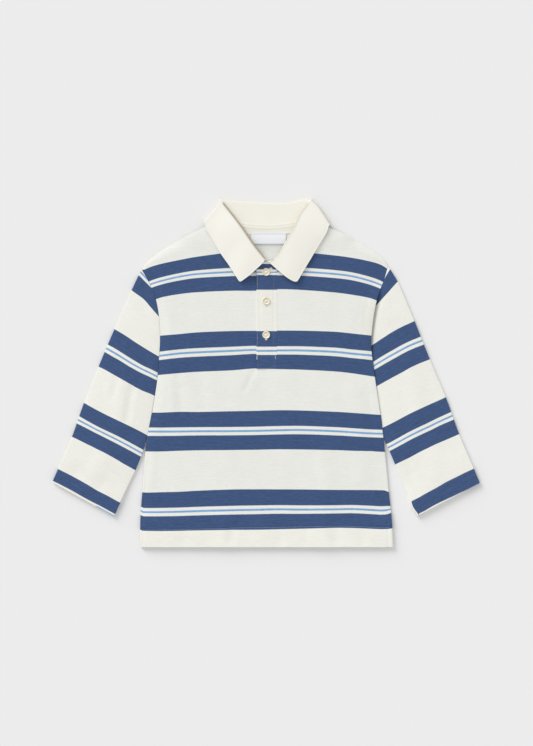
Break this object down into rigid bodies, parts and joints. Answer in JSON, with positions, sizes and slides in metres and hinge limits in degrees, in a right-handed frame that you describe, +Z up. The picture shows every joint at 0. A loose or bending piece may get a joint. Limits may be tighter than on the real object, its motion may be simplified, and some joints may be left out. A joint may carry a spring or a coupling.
{
  "type": "long-sleeve polo shirt",
  "caption": "Child's long-sleeve striped jersey polo shirt with white collar and buttoned half placket, laid flat and face up.",
  "frame": {"origin": "on the surface under the middle of the shirt's bounding box", "axes": "+X towards the wearer's left sleeve, +Y towards the collar, +Z up out of the shirt's front"},
  "size_m": [0.4916, 0.4, 0.0086],
  "materials": {
    "striped_jersey": "off-white cotton jersey with blue stripes",
    "collar_cloth": "off-white close knit",
    "label_cloth": "white woven label",
    "button_shell": "cream, shell-like, semi-gloss"
  },
  "bodies": {
    "root": {"back": "striped_jersey", "front": "striped_jersey", "sleeve_right": "striped_jersey", "sleeve_left": "striped_jersey", "placket_top": "striped_jersey", "placket_under": "striped_jersey", "collar": "collar_cloth", "neck_tape": "collar_cloth", "label": "label_cloth", "button_1": "button_shell", "button_2": "button_shell", "button_3": "button_shell"}
  },
  "joints": []
}
